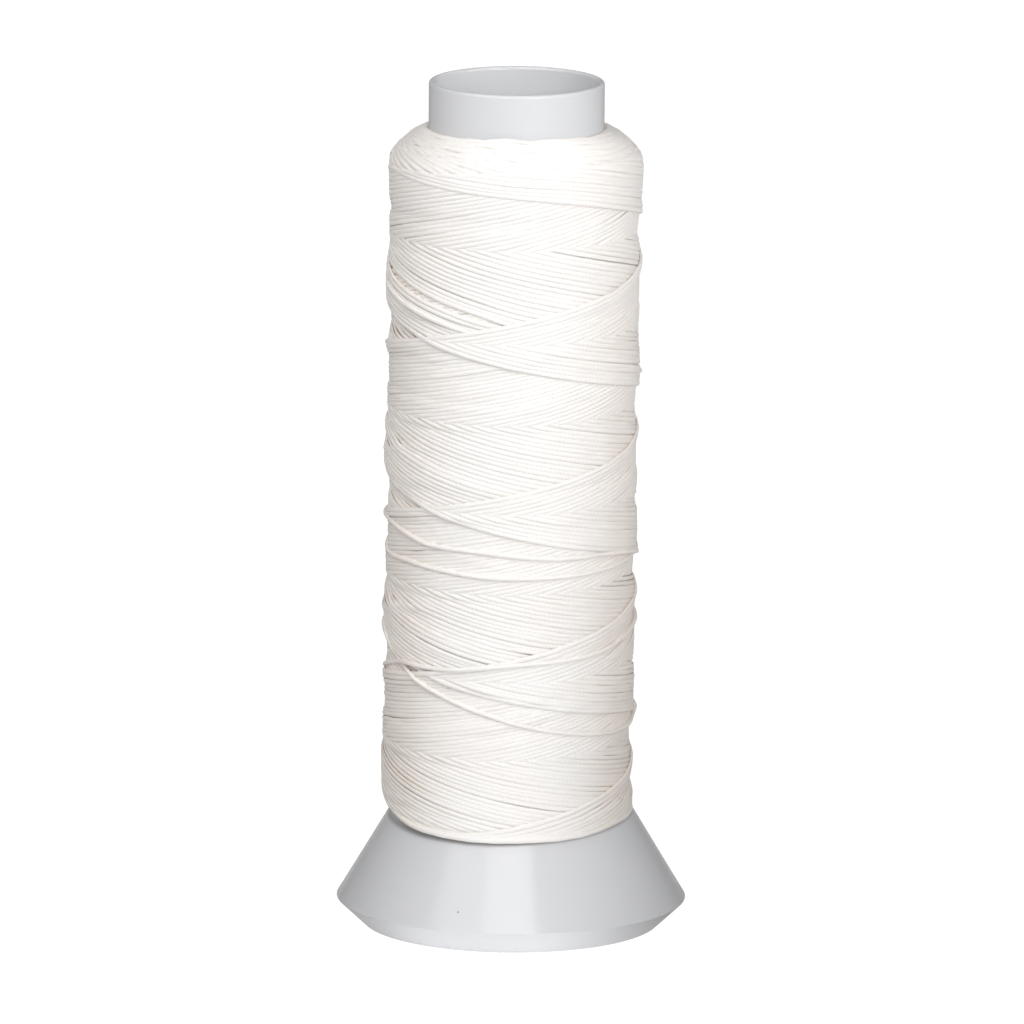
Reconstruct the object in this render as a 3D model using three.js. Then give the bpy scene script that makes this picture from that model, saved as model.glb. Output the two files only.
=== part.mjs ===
// A reel of heavy ivory sewing thread on a one-piece moulded spool.
//
// Millimetres, +Z up. The origin is on the spool's axis, in the plane that the foot stands on.
// Angles round the axis are in degrees from the front, which is -Y, and grow towards +X.
//
// Three pieces: the spool, a thin tube on a flared foot; the thread wound on it, which stands on
// the foot's cone; and the loose end of the thread, a few slack turns round the outside.

import * as THREE from 'three';

// ---- Driving dimensions -------------------------------------------------------------------

const SPOOL = {
  height: 117.2,
  tubeRadius: 12.0,
  tubeWall: 0.9,
  rimRadius: 24.0,        // widest circle of the foot
  rimHeight: 3.4,         // height of that circle
  standRadius: 20.4,      // outer edge of the flat ring that the spool stands on
  hollowRadius: 19.0,     // inner edge of that ring, and the straight start of the hollow
  coneSlope: 0.595,       // radius that the foot's cone loses in 1 mm of height
  coneWall: 1.5,
  around: 64,             // facets round the axis
  lipSteps: 6,            // facets over the rounded lip of the tube
};

const WINDING = {
  radius: 17.3,           // mean radius of the straight part
  top: 110.9,             // where the thread meets the tube
  shoulder: 105.3,        // where the straight part ends
  shoulderPower: 1.75,    // 2 would be a quarter of an ellipse
  clearance: 0.3,         // to the tube and, square to it, to the cone
  footCorner: 1.2,        // height of the rounding above the cone
  footTuck: 0.35,         // what that rounding takes off the radius
  bow: 0.3,               // the wound body stands off the axis by this at half height, to -X
  sag: 0.6,               // it bulges to the front by this where it rests on the cone
  sagHeight: 20,          // over which the sag fades
  around: 64,
  straightRows: 44,
  shoulderRows: 7,
};

// The thread runs up and down the reel in crossing helices. Each pass lies beside the last one,
// so the newest pass each way is the edge of a raised band, and the surface falls away from it.
const THREAD = {
  diameter: 0.56,
  lead: 23.3,             // height gained in one turn
  newestDown: 57.4,       // height at the front of the newest pass that goes down
  newestUp: 62.7,         // and of the newest pass that goes up
  bandStep: 0.45,         // height of a band's edge
  fade: 4,                // the bands die out over this length at both ends
};

// The loose end leaves the winding at the back and goes round it in slack turns.
const LOOSE = {
  sides: 8,
  steps: 80,
  clearance: 0.3,
  reach: 9,               // degrees each way over which it bridges hollows
};

const looseRoute = [
  { turn: -150, height: 53.7 },
  { turn: -128, height: 54.3 },
  { turn: -104, height: 53.3 },
  { turn: -78, height: 52.3 },
  { turn: -59, height: 52.4 },
  { turn: -34, height: 52.0 },
  { turn: -9, height: 51.5 },
  { turn: 28, height: 51.5 },
  { turn: 60, height: 51.9 },
  { turn: 84, height: 52.3 },
  { turn: 120, height: 53.4 },
  { turn: 180, height: 55.3 },
  { turn: 240, height: 56.8 },
  { turn: 276, height: 57.0 },
  { turn: 301, height: 56.2 },
  { turn: 320, height: 55.3 },
  { turn: 344, height: 55.0 },
  { turn: 380, height: 54.0 },
  { turn: 407, height: 53.8 },
  { turn: 441, height: 52.5 },
  { turn: 480, height: 49.5 },
  { turn: 540, height: 45.0 },
  { turn: 600, height: 42.4 },
  { turn: 640, height: 41.0 },
  { turn: 654, height: 38.6 },
  { turn: 676, height: 35.8 },
  { turn: 705, height: 32.9 },
  { turn: 738, height: 30.2 },
  { turn: 768, height: 28.8 },
  { turn: 798, height: 28.6 },
  { turn: 822, height: 30.0 },
  { turn: 860, height: 31.6 },
  { turn: 920, height: 33.6 },
  { turn: 975, height: 34.8 },
  { turn: 1005, height: 37.0 },
  { turn: 1022, height: 38.1 },
  { turn: 1050, height: 38.3 },
  { turn: 1080, height: 39.4 },
  { turn: 1127, height: 40.3 },
  { turn: 1164, height: 42.5 },
  { turn: 1205, height: 44.4 },
  { turn: 1262, height: 46.6 },
];

// Where the loose end passes over itself: the turn that lies on top, and how far it takes to rise.
const looseHumps = [
  { turn: 447, plateau: 16, ramp: 34 },
  { turn: 526, plateau: 12, ramp: 34 },
  { turn: 1019, plateau: 14, ramp: 34 },
];

// ---- Geometry shared by the pieces --------------------------------------------------------

const radians = THREE.MathUtils.degToRad;

function coneHeight(radius) {
  return SPOOL.rimHeight + (SPOOL.rimRadius - radius) / SPOOL.coneSlope;
}

function around(turn, radius, height) {
  const angle = radians(turn);
  return new THREE.Vector3(radius * Math.sin(angle), -radius * Math.cos(angle), height);
}

function fraction(value) {
  return value - Math.floor(value);
}

// ---- The spool ----------------------------------------------------------------------------

function spoolProfile() {
  const bore = SPOOL.tubeRadius - SPOOL.tubeWall;
  const wallAcross = SPOOL.coneWall * Math.hypot(1, SPOOL.coneSlope);
  const lip = SPOOL.tubeWall / 2;
  const profile = [
    new THREE.Vector2(SPOOL.hollowRadius, 0),
    new THREE.Vector2(SPOOL.standRadius, 0),
    new THREE.Vector2(SPOOL.rimRadius, SPOOL.rimHeight),
    new THREE.Vector2(SPOOL.tubeRadius, coneHeight(SPOOL.tubeRadius)),
  ];
  for (let step = 0; step <= SPOOL.lipSteps; step++) {
    const angle = Math.PI * step / SPOOL.lipSteps;
    profile.push(new THREE.Vector2(
      SPOOL.tubeRadius - lip + lip * Math.cos(angle),
      SPOOL.height - lip + lip * Math.sin(angle),
    ));
  }
  profile.push(new THREE.Vector2(bore, coneHeight(bore + wallAcross)));
  profile.push(new THREE.Vector2(SPOOL.hollowRadius, coneHeight(SPOOL.hollowRadius + wallAcross)));
  profile.push(profile[0].clone());
  return profile;
}

function makeSpool(material) {
  const geometry = new THREE.LatheGeometry(spoolProfile(), SPOOL.around);
  geometry.rotateX(Math.PI / 2);
  const spool = new THREE.Mesh(geometry, material);
  spool.name = 'spool';
  return spool;
}

// ---- The wound thread ---------------------------------------------------------------------

// Radius of the wound body, bands left out.
function bodyRadius(height) {
  if (height <= WINDING.shoulder) {
    return WINDING.radius;
  }
  const inner = SPOOL.tubeRadius + WINDING.clearance;
  const rise = (height - WINDING.shoulder) / (WINDING.top - WINDING.shoulder);
  const power = WINDING.shoulderPower;
  return inner + (WINDING.radius - inner) * Math.pow(Math.max(0, 1 - Math.pow(rise, power)), 1 / power);
}

// Height of the bands over the mean surface, from the age of the newest pass each way: 0 where
// the thread was laid last, 1 where it was laid a whole lead ago.
function bandHeight(turn, height) {
  const climb = THREAD.lead * turn / 360;
  const ageDown = fraction((height - (THREAD.newestDown - climb)) / THREAD.lead);
  const ageUp = fraction((THREAD.newestUp + climb - height) / THREAD.lead);
  const foot = coneHeight(WINDING.radius);
  const ends = Math.min(height - foot, WINDING.shoulder - height) / THREAD.fade;
  return THREAD.bandStep * (1 - ageDown - ageUp) * THREE.MathUtils.clamp(ends, 0, 1);
}

function sagAt(turn, height) {
  const foot = coneHeight(WINDING.radius);
  const fade = THREE.MathUtils.clamp(1 - (height - foot) / WINDING.sagHeight, 0, 1);
  return WINDING.sag * fade * Math.max(0, Math.cos(radians(turn))) ** 2;
}

function bowAt(height) {
  const foot = coneHeight(WINDING.radius);
  const along = THREE.MathUtils.clamp((height - foot) / (WINDING.shoulder - foot), 0, 1);
  return WINDING.bow * Math.sin(Math.PI * along);
}

function windingPoint(turn, height, tuck = 0) {
  const radius = bodyRadius(height) - tuck + bandHeight(turn, height) + sagAt(turn, height);
  const point = around(turn, radius, height);
  point.x -= bowAt(height);
  return point;
}

// Distance of the winding's surface from the spool's axis.
function windingRadius(turn, height) {
  const point = windingPoint(turn, height);
  return Math.hypot(point.x, point.y);
}

// The edge where the winding stands on the cone, and the rounding above it.
function footPoint(turn, rise) {
  const gap = WINDING.clearance * Math.hypot(1, 1 / SPOOL.coneSlope);
  const foot = coneHeight(WINDING.radius);
  const tuck = WINDING.footTuck * (1 - rise) ** 2;
  const radius = WINDING.radius - tuck + sagAt(turn, foot);
  const height = coneHeight(radius) + gap + rise * WINDING.footCorner;
  return around(turn, radius, height);
}

function windingRings() {
  const inner = SPOOL.tubeRadius + WINDING.clearance;
  const gap = WINDING.clearance * Math.hypot(1, 1 / SPOOL.coneSlope);
  const first = coneHeight(WINDING.radius) + gap + WINDING.footCorner * 2;
  const rings = [
    (turn) => around(turn, inner, WINDING.top),
    (turn) => around(turn, inner, coneHeight(inner) + gap),
    (turn) => footPoint(turn, 0),
    (turn) => footPoint(turn, 1),
  ];
  for (let row = 0; row <= WINDING.straightRows; row++) {
    const height = first + (WINDING.shoulder - first) * row / WINDING.straightRows;
    rings.push((turn) => windingPoint(turn, height));
  }
  for (let row = 1; row < WINDING.shoulderRows; row++) {
    const angle = Math.PI / 2 * row / WINDING.shoulderRows;
    const height = WINDING.shoulder + (WINDING.top - WINDING.shoulder) * Math.sin(angle);
    rings.push((turn) => windingPoint(turn, height));
  }
  return rings;
}

// A closed solid whose section is a loop of rings and which goes right round the axis.
function ringSolid(rings, columns) {
  const positions = [];
  const indices = [];
  for (const ring of rings) {
    for (let column = 0; column < columns; column++) {
      positions.push(...ring(360 * column / columns).toArray());
    }
  }
  for (let row = 0; row < rings.length; row++) {
    for (let column = 0; column < columns; column++) {
      const nextRow = (row + 1) % rings.length;
      const nextColumn = (column + 1) % columns;
      const here = row * columns + column;
      const right = row * columns + nextColumn;
      const above = nextRow * columns + column;
      const across = nextRow * columns + nextColumn;
      indices.push(here, right, across, here, across, above);
    }
  }
  const geometry = new THREE.BufferGeometry();
  geometry.setAttribute('position', new THREE.Float32BufferAttribute(positions, 3));
  geometry.setIndex(indices);
  geometry.computeVertexNormals();
  return geometry;
}

function makeWinding(material) {
  const winding = new THREE.Mesh(ringSolid(windingRings(), WINDING.around), material);
  winding.name = 'thread_winding';
  return winding;
}

// ---- The loose end ------------------------------------------------------------------------

// Slope of the route at one row of its table, in millimetres a degree.
function routeSlope(index) {
  const before = looseRoute[Math.max(0, index - 1)];
  const after = looseRoute[Math.min(looseRoute.length - 1, index + 1)];
  return (after.height - before.height) / (after.turn - before.turn);
}

// Height of the route at a turn, on a smooth curve through the rows of its table.
function routeHeight(turn) {
  let index = 0;
  while (index < looseRoute.length - 2 && looseRoute[index + 1].turn < turn) {
    index++;
  }
  const from = looseRoute[index];
  const to = looseRoute[index + 1];
  const span = to.turn - from.turn;
  const part = (turn - from.turn) / span;
  const square = part * part;
  const cube = square * part;
  return (2 * cube - 3 * square + 1) * from.height
    + (cube - 2 * square + part) * span * routeSlope(index)
    + (3 * square - 2 * cube) * to.height
    + (cube - square) * span * routeSlope(index + 1);
}

function humpHeight(turn) {
  const full = THREAD.diameter + LOOSE.clearance;
  let height = 0;
  for (const hump of looseHumps) {
    const away = Math.abs(turn - hump.turn) - hump.plateau;
    height = Math.max(height, full * (1 - THREE.MathUtils.smoothstep(away, 0, hump.ramp)));
  }
  return height;
}

class LooseEndCurve extends THREE.Curve {
  getPoint(part, target = new THREE.Vector3()) {
    const first = looseRoute[0].turn;
    const last = looseRoute[looseRoute.length - 1].turn;
    const turn = first + (last - first) * part;
    const height = routeHeight(turn);
    let radius = 0;
    for (const aside of [-LOOSE.reach, 0, LOOSE.reach]) {
      for (const over of [-THREAD.diameter, 0, THREAD.diameter]) {
        radius = Math.max(radius, windingRadius(turn + aside, height + over));
      }
    }
    const chordLoss = WINDING.radius * (1 - Math.cos(radians((last - first) / LOOSE.steps / 2)));
    radius += THREAD.diameter / 2 + LOOSE.clearance + chordLoss + humpHeight(turn);
    return target.copy(around(turn, radius, height));
  }
}

function makeLooseEnd(material) {
  const section = new THREE.Shape();
  for (let side = 0; side < LOOSE.sides; side++) {
    const angle = 2 * Math.PI * side / LOOSE.sides;
    const across = THREAD.diameter / 2 * Math.cos(angle);
    const up = THREAD.diameter / 2 * Math.sin(angle);
    if (side === 0) {
      section.moveTo(across, up);
    } else {
      section.lineTo(across, up);
    }
  }
  section.closePath();
  const route = new LooseEndCurve();
  route.arcLengthDivisions = 1200;
  const geometry = new THREE.ExtrudeGeometry(section, { steps: LOOSE.steps, extrudePath: route });
  const looseEnd = new THREE.Mesh(geometry, material);
  looseEnd.name = 'loose_end';
  return looseEnd;
}

// ---- The reel -----------------------------------------------------------------------------

const plastic = new THREE.MeshStandardMaterial({ color: 0xd9dbde, roughness: 0.35, metalness: 0 });
const cotton = new THREE.MeshStandardMaterial({ color: 0xf1ece2, roughness: 0.85, metalness: 0 });

const reel = new THREE.Group();
reel.add(makeSpool(plastic));
reel.add(makeWinding(cotton));
reel.add(makeLooseEnd(cotton));

export default reel;
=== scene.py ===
"""A reel of heavy ivory sewing thread on a one-piece moulded spool.

The thread is laid here as on a winding machine: pass after pass up and down the reel, each one
resting on what lies under it. What still shows at the end is built as tubes, and the last pass
runs on into the loose end, a few slack turns round the outside.

Lengths are in millimetres until a mesh is made. Turns round the axis are counted from the front,
which is -Y, and grow towards +X. A height on the winding is measured along its outline, so that
it goes on growing over the shoulder; below the shoulder it is plain height.
"""

import math

import bpy
import numpy as np
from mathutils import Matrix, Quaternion, Vector


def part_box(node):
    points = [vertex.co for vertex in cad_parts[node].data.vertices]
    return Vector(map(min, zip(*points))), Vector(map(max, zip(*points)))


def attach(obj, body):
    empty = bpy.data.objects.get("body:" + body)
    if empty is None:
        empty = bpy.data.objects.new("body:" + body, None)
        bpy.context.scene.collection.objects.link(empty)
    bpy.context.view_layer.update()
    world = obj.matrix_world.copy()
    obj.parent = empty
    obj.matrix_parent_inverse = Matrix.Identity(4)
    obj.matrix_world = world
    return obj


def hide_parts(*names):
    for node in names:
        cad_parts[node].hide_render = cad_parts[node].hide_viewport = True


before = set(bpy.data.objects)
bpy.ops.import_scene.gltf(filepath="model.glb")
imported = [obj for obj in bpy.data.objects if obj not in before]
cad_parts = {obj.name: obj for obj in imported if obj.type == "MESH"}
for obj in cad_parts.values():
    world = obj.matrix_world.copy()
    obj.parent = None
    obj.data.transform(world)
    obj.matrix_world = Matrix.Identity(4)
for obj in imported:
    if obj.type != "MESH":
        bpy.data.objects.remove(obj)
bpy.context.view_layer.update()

MM = 0.001
SEED = 7

# ---- Sizes, as in the CAD model ----

RIM_RADIUS, _, SPOOL_HEIGHT = np.array(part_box("spool")[1]) / MM
RIM_HEIGHT = 3.4
STAND_RADIUS = 20.4
HOLLOW_RADIUS = 19.0
TUBE_RADIUS = 12.0
TUBE_WALL = 0.9
CONE_SLOPE = 0.595  # radius that the foot's cone loses in 1 mm of height
CONE_WALL = 1.5
# How round the moulding's corners are: the sole's inner and outer edge, the rim and the neck,
# and inside, the throat and the mouth of the hollow.
OUTSIDE_ROUNDS = (0.12, 0.15, 0.05, 0.3)
INSIDE_ROUNDS = (0.3, 0.3)

TOP_RIDE = 0.5  # the last strands ride up the tube by this much,
FRONT_RIDE = 0.95  # and at the front by this much more
WINDING_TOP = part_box("thread_winding")[1][2] / MM + TOP_RIDE
WINDING_RADIUS = 17.3  # mean radius over the strands
WINDING_INNER = 12.3  # and where the shoulder ends at the tube
SHOULDER = 105.3  # where the straight part ends
SHOULDER_BLEND = (SHOULDER - 3, SHOULDER + 1)  # heights over which its own rules set in
SHOULDER_POWER = 1.75  # its section is a quarter of a superellipse of this power
# The reversals pile up round the shoulder's lower edge: (height, by how much it is fuller).
FULL_HEIGHTS = (100.0, 104.5, 107.0, 109.0, 111.0)
FULLNESS = (0.0, 0.2, 0.3, -0.25, -0.6)
# The wound body stands off the axis to -X: (height, by how much).
LEAN_HEIGHTS = (17.0, 26.0, 50.0, 90.0, 104.0)
LEANS = (0.6, 0.7, 0.37, 0.18, 0.0)
SAG = 0.6  # it bulges to the front by this where it rests on the cone
SAG_HEIGHT = 20.0

THREAD = 0.56  # diameter

# The pattern of the winding hangs lower at the front: (height, by how much).
DROP_HEIGHTS = (45.0, 70.0, 90.0, 105.0)
DROPS = (1.05, 0.6, 0.3, 0.1)
BACK_HEIGHTS = (17, 45)  # over these heights it comes to ride up at the back by as much

# ---- How the machine laid the thread ----

TURNS_UP = 3.946  # turns in one pass up, and in one pass down
TURNS_DOWN = 4.028
TURNS_PER_STROKE = TURNS_UP + TURNS_DOWN
LAST_FOOT_TURN = -34 / 360  # where the last reversal at the foot lies
FOOT_REVERSAL = 15.86  # its height, but for what follows
FOOT_RISE = 0.039  # each older one lies this much higher, up the cone
FOOT_LAST_RISE = 0.4  # the very last one is this much higher too,
FOOT_LAST_STROKES = 4  # and the ones before it less, over this many
FOOT_UNEVEN = 0.08  # each lies up to this much higher or lower,
FOOT_UNEVEN_PACE = 5.1  # as the sine of its number times this
FOOT_ROUNDING = 30 / 360  # turns on each side over which a reversal is rounded
FOOT_SPARE = 0.1  # no strand goes further than this below its reversal,
TUBE_SPARE = 0.25  # nor nearer than this to the winding's end at the tube
HEAD_REVERSAL = 104.3
HEAD_ROUNDING = 90 / 360
HEAD_RAISE = 0.9  # the passes lie this much higher near the head,
RAISE_BEFORE = (0.1, 0.8)  # less and less over these turns before the reversal
RAISE_AFTER = (0.3, 1.0)  # and over these after it
HEAD_SOFT = 1.5  # height over which the turn at the head is rounded
SLOW_LEAD = 8.2  # the last strokes creep down at this lead before they pick up speed,
SLOW_START = 1.0  # from this far over the reversal,
SLOW_SOFT = 1.0  # and pick it up over this height
OLDER_PEAK = 2.6  # older strokes turn back higher, up to this much
PEAK_STROKES = 8  # after this many
FASTER_START = 0.03  # the guide starts its way down a little faster than it ends it
LAST_PASS_TURNS = 1.678  # of the last pass up, which runs on into the loose end

STROKES = 82  # up-and-down strokes laid in full
SHOULDER_STROKES = 226  # strokes whose reversals show on the shoulder
HEAD_ARC = 130 / 360  # the older ones are laid over this much on each side
GROWTH = 0.0250  # thickness that one stroke adds
BASE_DEPTH = 0.35  # how far under the oldest stroke the bare core lies

CELLS = 480  # cells round one turn of the height field
ROW = 0.05  # height of a cell
SPARE_ROWS = 12  # past the winding's end, for the width of a strand and of its neighbour
NOTHING = -99  # lower than any surface
HALF = THREAD / 2
PRESSED = 0.75  # a strand sinks in until this much of its half thickness is left
CONTACT = 0.6  # part of its width that carries it
PILE = 0.5  # how far strands can pile up over the mean surface
HOLLOW = 0.75  # and how deep they can lie under it
CREST = 0.12  # how far the highest strands stand out over the rest
CREST_END = 0.5  # so near to the winding's end the crest isn't looked for
SECTORS = 24  # round the reel, in which the shoulder's crest is found
# Later turns press the pile together, on the shoulder most: part of its relief that is left.
RELIEF_BODY = 0.85
RELIEF_SHOULDER = 0.3


def smoothstep(value, low, high):
    part = np.clip((np.asarray(value, dtype=float) - low) / (high - low), 0.0, 1.0)
    return part * part * (3 - 2 * part)


def cone_height(radius):
    return RIM_HEIGHT + (RIM_RADIUS - radius) / CONE_SLOPE


# ---- The winding's outline ----


def shoulder_table(points=400):
    """Length along the shoulder, radius and height, from the straight part up to the tube."""
    angle = np.linspace(0, math.pi / 2, points)
    power = 2 / SHOULDER_POWER
    radius = WINDING_INNER + (WINDING_RADIUS - WINDING_INNER) * np.cos(angle) ** power
    height = SHOULDER + (WINDING_TOP - SHOULDER) * np.sin(angle) ** power
    length = np.concatenate([[0], np.cumsum(np.hypot(np.diff(radius), np.diff(height)))])
    return length, radius, height


OVER_LENGTH, OVER_RADIUS, OVER_HEIGHT = shoulder_table()
WAY_START = 14.0  # under the lowest strand
WAY_END = SHOULDER + OVER_LENGTH[-1]


def section(way):
    """Radius and height of the winding's mean surface."""
    over = np.clip(way - SHOULDER, 0, OVER_LENGTH[-1])
    height = np.where(way > SHOULDER, np.interp(over, OVER_LENGTH, OVER_HEIGHT), way)
    return np.interp(over, OVER_LENGTH, OVER_RADIUS), height


def outline(way, beside=0.25):
    """Radius, height and the outward normal of the winding's mean surface. The normal comes from
    the places a little beside."""
    radius_ahead, height_ahead = section(np.minimum(way + beside, WAY_END))
    radius_behind, height_behind = section(np.maximum(way - beside, WAY_START))
    step_radius, step_height = radius_ahead - radius_behind, height_ahead - height_behind
    size = np.hypot(step_radius, step_height)
    return *section(way), step_height / size, -step_radius / size


def pattern_drop(turn, height):
    """How much lower the pattern hangs at this place; at the back it rides up instead."""
    front = np.cos(2 * math.pi * turn)
    behind = front * smoothstep(height, *BACK_HEIGHTS)
    return np.interp(height, DROP_HEIGHTS, DROPS) * np.where(front > 0, front, behind)


def place(turn, way, lift):
    """Points and outward normals at a height over the winding's mean surface."""
    radius, height, out, up = outline(way)
    lift = lift + np.interp(height, FULL_HEIGHTS, FULLNESS)
    radius = radius + out * lift
    height = height + up * lift
    foot = cone_height(WINDING_RADIUS)
    angle = 2 * math.pi * turn
    front = np.maximum(np.cos(angle), 0)
    radius = radius + SAG * front * np.clip(1 - (height - foot) / SAG_HEIGHT, 0, 1)
    ride = FRONT_RIDE * front * smoothstep(height, SHOULDER, WINDING_TOP)
    points = np.stack([
        radius * np.sin(angle) - np.interp(height, LEAN_HEIGHTS, LEANS),
        -radius * np.cos(angle),
        height - pattern_drop(turn, height) + ride,
    ], axis=-1)
    normals = np.stack([out * np.sin(angle), -out * np.cos(angle), up], axis=-1)
    return points, normals


# ---- Laying the thread ----


def foot_reversal(stroke):
    """Height of the reversal at the foot. Strokes are numbered by their age, the last one 0."""
    uneven = FOOT_UNEVEN * math.sin(FOOT_UNEVEN_PACE * stroke)
    last_rise = FOOT_LAST_RISE * (1 - smoothstep(stroke, 0, FOOT_LAST_STROKES))
    return FOOT_REVERSAL + FOOT_RISE * stroke + last_rise + uneven


def head_reversal(stroke):
    """Height of the reversal at the head; that of older strokes is further up the shoulder."""
    top = WAY_END - SLOW_START - OLDER_PEAK
    return HEAD_REVERSAL + (top - HEAD_REVERSAL) * (stroke / SHOULDER_STROKES)


def soft_min(one, two, reach):
    """The smaller of two values, with the corner between them rounded off."""
    corner = np.clip(reach - np.abs(one - two), 0, None)
    return np.minimum(one, two) - corner ** 2 / (4 * reach)


# Places where strands have slipped apart: (youngest stroke, its turns from the reversal at the
# foot, half length in turns, how far up it and each older neighbour slipped).
SLIPS = (
    (7, 4.784, 0.14, (-0.16, -0.08, -0.14, 0.38, 0.26, 0.16, 0.26, 0.16, 0.07)),
    (13, 3.6, 0.2, (0.05, 0.13)),
)
NEIGHBOUR = 8  # a strand lies beside the one that was laid about so many turns before it
SMALL_SLIPS = 3  # more slips in each stroke, at random,
SMALL_SLIP = 0.09  # by about this much,
SMALL_SLIP_REACH = (0.08, 0.2)  # and of half lengths between these, in turns
SLIP_FREE = 0.5  # turns at the ends of a stroke without them
WAVE_PACES = (0.35, 2.2)  # of the guide's slow errors, in waves a turn
HEAD_ERROR = 0.3  # most that it may err by at the head,
HEAD_ERROR_TURNS = (0.05, 0.25)  # less and less over these turns away from it,
HEAD_ERROR_STROKES = (2, 12)  # and more and more from the first of these ages to the second
ERROR_FREE = 0.15  # turns at the ends of a stroke over which its errors set in


def slip(away, size, reach):
    """How far aside a strand has slipped at these distances from the middle of the place."""
    return size * (1 - smoothstep(np.abs(away), reach / 2, reach))


class Waver:
    """Small sideways errors of the machine's guide: one for each stroke, slow ones along it, and
    one where it turns back at the head."""

    def __init__(self, rng, steady=0.02, slow=0.01, head=0.12, waves=5):
        self.offset = rng.normal(0, steady)
        self.head = np.clip(rng.normal(0, head), -HEAD_ERROR, HEAD_ERROR)
        self.pace = rng.uniform(*WAVE_PACES, waves)
        self.phase = rng.uniform(0, 2 * math.pi, waves)
        self.size = rng.normal(0, slow, waves)
        middles = rng.uniform(SLIP_FREE, TURNS_PER_STROKE - SLIP_FREE, SMALL_SLIPS)
        sizes = rng.normal(0, SMALL_SLIP, SMALL_SLIPS)
        reaches = rng.uniform(*SMALL_SLIP_REACH, SMALL_SLIPS)
        self.slips = list(zip(middles, sizes, reaches))

    def at(self, turns):
        waves = self.size * np.sin(2 * math.pi * self.pace * turns[:, None] + self.phase)
        for middle, size, reach in self.slips:
            waves[:, 0] += slip(turns - middle, size, reach)
        fade_in = smoothstep(turns, 0, ERROR_FREE)
        fade_out = smoothstep(TURNS_PER_STROKE - turns, 0, ERROR_FREE)
        return (self.offset + waves.sum(axis=1)) * (fade_in * fade_out)


def stroke_heights(stroke, turns, waver):
    """Way of one stroke along the reel; turns are counted from its reversal at the foot."""
    younger = max(stroke - 1, 0)
    head = head_reversal(younger)
    foot, next_foot = foot_reversal(stroke), foot_reversal(younger)
    since, left = turns - TURNS_UP, TURNS_PER_STROKE - turns

    roundings = (HEAD_ROUNDING + FOOT_ROUNDING) / 2
    lead = (head - foot) / (TURNS_UP - roundings)
    lead_down = (head - next_foot) / (TURNS_DOWN - roundings)
    head_line = head + lead * HEAD_ROUNDING / 2
    part = np.clip(since / TURNS_DOWN, 0, 1)
    hurry = FASTER_START * (head - foot) * part * (1 - part)
    up = head_line + lead * since + HEAD_RAISE * (1 - smoothstep(-since, *RAISE_BEFORE))
    down = head_line - lead_down * since - hurry + HEAD_RAISE * (1 - smoothstep(since, *RAISE_AFTER))
    slow = head + SLOW_START - SLOW_LEAD * since + OLDER_PEAK * min(younger / PEAK_STROKES, 1)
    heights = soft_min(soft_min(up, down, HEAD_SOFT), slow, SLOW_SOFT)

    near_start = foot + lead * turns ** 2 / (2 * FOOT_ROUNDING)
    near_end = next_foot + lead_down * left ** 2 / (2 * FOOT_ROUNDING)
    heights = np.where(turns < FOOT_ROUNDING, near_start, heights)
    heights = np.where(left < FOOT_ROUNDING, near_end, heights)

    near_head = 1 - smoothstep(np.abs(since), *HEAD_ERROR_TURNS)
    head_error = waver.head * smoothstep(stroke, *HEAD_ERROR_STROKES) * near_head
    heights = heights + waver.at(turns) + head_error
    for youngest, middle, reach, sizes in SLIPS:
        older = stroke - youngest
        if 0 <= older < len(sizes):
            away = turns - middle + older * (NEIGHBOUR - TURNS_PER_STROKE)
            heights = heights + slip(away, sizes[older], reach)
    return np.clip(heights, foot - FOOT_SPARE, WAY_END - TUBE_SPARE)


def taut(heights):
    """The line of a taut thread over bumps round the reel: straight where it bridges a hollow."""
    along = np.arange(len(heights)) * (2 * math.pi * WINDING_RADIUS / CELLS)
    line = heights - along ** 2 / (2 * WINDING_RADIUS)
    kept = []
    for index, (x, y) in enumerate(zip(along.tolist(), line.tolist())):
        while len(kept) > 1:
            (_, x0, y0), (_, x1, y1) = kept[-2], kept[-1]
            if (y1 - y0) * (x - x0) > (y - y0) * (x1 - x0):
                break
            kept.pop()
        kept.append((index, x, y))
    held = [index for index, _, _ in kept]
    return np.interp(along, along[held], line[held]) + along ** 2 / (2 * WINDING_RADIUS)


def strand_top(aside):
    """How far a round strand's surface lies over its middle, at a distance aside of it."""
    return np.sqrt(np.clip(HALF ** 2 - aside ** 2, 0, None))


def row_at(way):
    """The row of the height field at a height."""
    return np.round((way - WAY_START) / ROW).astype(int)


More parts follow.
